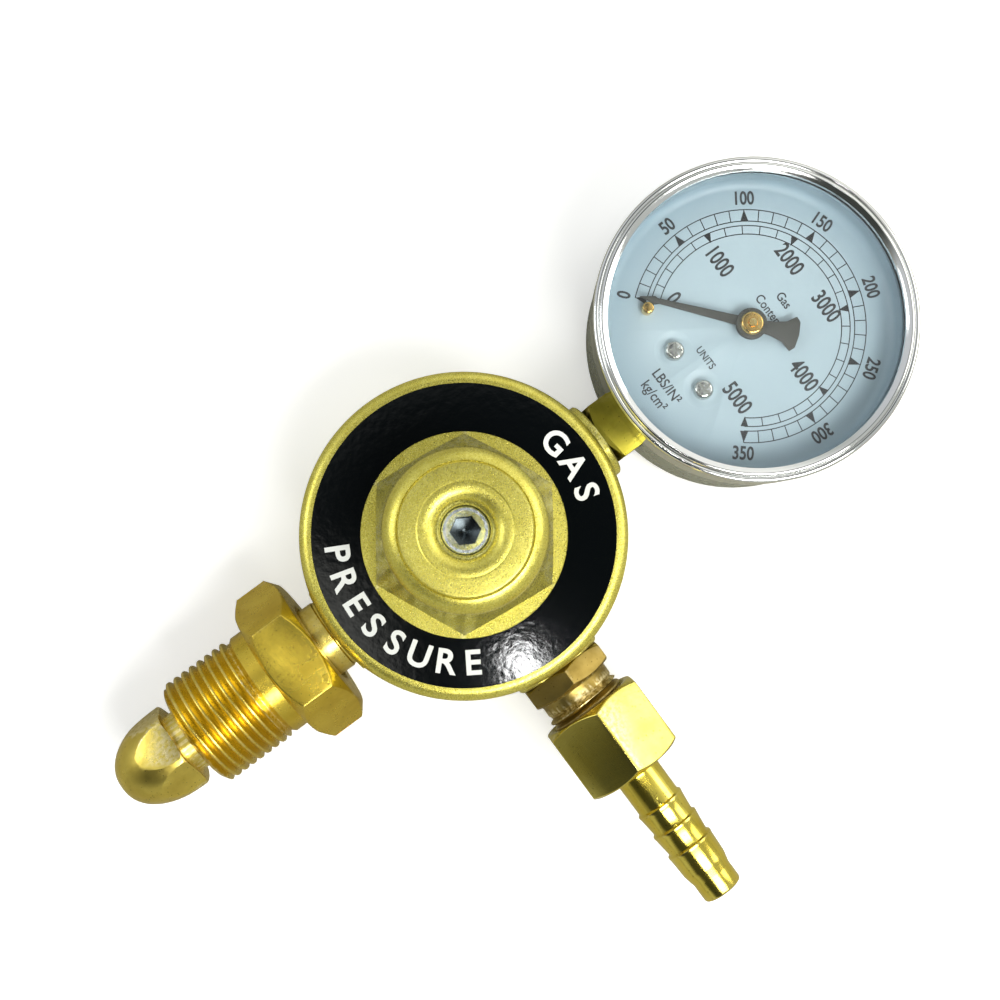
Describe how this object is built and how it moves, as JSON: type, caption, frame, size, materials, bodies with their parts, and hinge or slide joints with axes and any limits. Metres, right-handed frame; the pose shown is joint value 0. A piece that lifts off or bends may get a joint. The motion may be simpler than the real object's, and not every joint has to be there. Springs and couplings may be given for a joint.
{
  "type": "gas regulator",
  "caption": "Gas cylinder pressure regulator: round gold body with hex bonnet and recessed screw, dial gauge, threaded inlet nut with bull-nose nipple, and hose barb outlet.",
  "frame": {"origin": "centre of the flat back face that the body rests on", "axes": "+Z along the adjusting-screw axis, away from the back; +X from the body towards the gauge, so the inlet is along -X; the outlet is along -Y"},
  "size_m": [0.1836, 0.1179, 0.05],
  "materials": {
    "gold_paint": "satin gold paint with fine metal flake",
    "label_black": "glossy printed film",
    "brass": "machined",
    "inlet_brass": "turned and milled brass, light handling scratches",
    "outlet_brass": "turned and milled brass",
    "stem_brass": "milled brass",
    "zinc_steel": "bright zinc plate",
    "nickel_steel": "nickel plate",
    "spring_steel": "oiled spring wire",
    "rubber": "matt",
    "nylon": "matt",
    "bronze": "sintered and drawn bronze",
    "case_metal": "plated pressed steel, satin",
    "chrome": "bright chrome",
    "clear_window": "clear",
    "dial_paint": "satin pale blue-white with printed scales",
    "pointer_paint": "dark grey, satin"
  },
  "bodies": {
    "regulator": {"body": "gold_paint", "bonnet": "gold_paint", "bonnet_label": "label_black", "slip_ring": "brass", "diaphragm": "rubber", "nozzle": "brass", "nozzle_washer": "bronze", "valve_spring": "spring_steel", "adjusting_spring": "spring_steel", "inlet_nipple": "inlet_brass", "inlet_filter": "bronze", "outlet_adapter": "outlet_brass", "gauge_stem": "stem_brass", "throttle_screw": "brass", "gauge_case": "case_metal", "case_screws": "zinc_steel", "gauge_bezel": "chrome", "window_gasket": "rubber", "gauge_window": "clear_window", "gauge_dial": "dial_paint", "dial_screws": "nickel_steel", "stop_pin": "brass", "movement_back_plate": "brass", "movement_front_plate": "brass", "movement_pillars": "brass", "movement_screws": "zinc_steel", "bourdon_tube": "bronze", "hairspring": "spring_steel"},
    "diaphragm_stack": {"diaphragm_plate": "zinc_steel", "diaphragm_stud": "brass", "diaphragm_nut": "zinc_steel"},
    "poppet": {"valve_poppet": "brass", "poppet_seat": "nylon"},
    "spring_button": {"spring_button": "zinc_steel"},
    "adjusting_screw": {"adjusting_screw": "zinc_steel"},
    "inlet_nut": {"inlet_nut": "inlet_brass"},
    "hose_barb": {"hose_barb": "outlet_brass"},
    "union_nut": {"union_nut": "outlet_brass"},
    "pointer": {"gauge_pointer": "pointer_paint", "pointer_hub": "brass", "pinion": "brass"},
    "sector": {"sector_gear": "brass"},
    "tube_tip": {"tube_tip": "brass", "movement_link": "brass"}
  },
  "joints": [
    {"name": "screw_turn", "type": "hinge", "parent": "spring_button", "child": "adjusting_screw", "pos_m": [0, 0, 0.04], "axis": [0, 0, -1], "range_deg": [0, 1440.2]},
    {"name": "button_slide", "type": "slide", "parent": "regulator", "child": "spring_button", "axis": [0, 0, -1], "range_m": [0, 0.004], "deforming": ["adjusting_spring"]},
    {"name": "diaphragm_travel", "type": "slide", "parent": "regulator", "child": "diaphragm_stack", "axis": [0, 0, -1], "range_m": [0, 0.0008], "stiffness_N_per_m": 2500, "springref_m": -0.0004, "deforming": ["diaphragm", "adjusting_spring"]},
    {"name": "poppet_travel", "type": "slide", "parent": "regulator", "child": "poppet", "axis": [0, 0, -1], "range_m": [0, 0.00081], "deforming": ["valve_spring"]},
    {"name": "inlet_nut_turn", "type": "hinge", "parent": "regulator", "child": "inlet_nut", "pos_m": [-0.0507, 0, 0.018], "axis": [-1, 0, 0], "continuous": true},
    {"name": "barb_slide", "type": "slide", "parent": "regulator", "child": "hose_barb", "axis": [0, -1, 0], "range_m": [0, 0.0045]},
    {"name": "union_turn", "type": "hinge", "parent": "hose_barb", "child": "union_nut", "pos_m": [0, -0.049, 0.018], "axis": [0, -1, 0], "range_deg": [0, 1080.2]},
    {"name": "pointer_turn", "type": "hinge", "parent": "regulator", "child": "pointer", "pos_m": [0.0698, 0, 0.0265], "axis": [0, 0, -1], "range_deg": [0, 260.1], "deforming": ["hairspring"]},
    {"name": "sector_turn", "type": "hinge", "parent": "regulator", "child": "sector", "pos_m": [0.07655, -0.01169, 0.0175], "axis": [0, 0, 1], "range_deg": [0, 32.6]},
    {"name": "tip_travel", "type": "slide", "parent": "regulator", "child": "tube_tip", "axis": [0.7224, -0.6915, 0], "range_m": [0, 0.00246], "stiffness_N_per_m": 500, "springref_m": -0.0002, "deforming": ["bourdon_tube"]}
  ],
  "couplings": [
    {"joint": "screw_turn", "follows": "button_slide", "rad_per_m": 6283.2},
    {"joint": "poppet_travel", "follows": "diaphragm_travel", "ratio": 1},
    {"joint": "union_turn", "follows": "barb_slide", "rad_per_m": 4188.8},
    {"joint": "pointer_turn", "follows": "tip_travel", "rad_per_m": 1842.8},
    {"joint": "sector_turn", "follows": "tip_travel", "rad_per_m": 230.35}
  ]
}
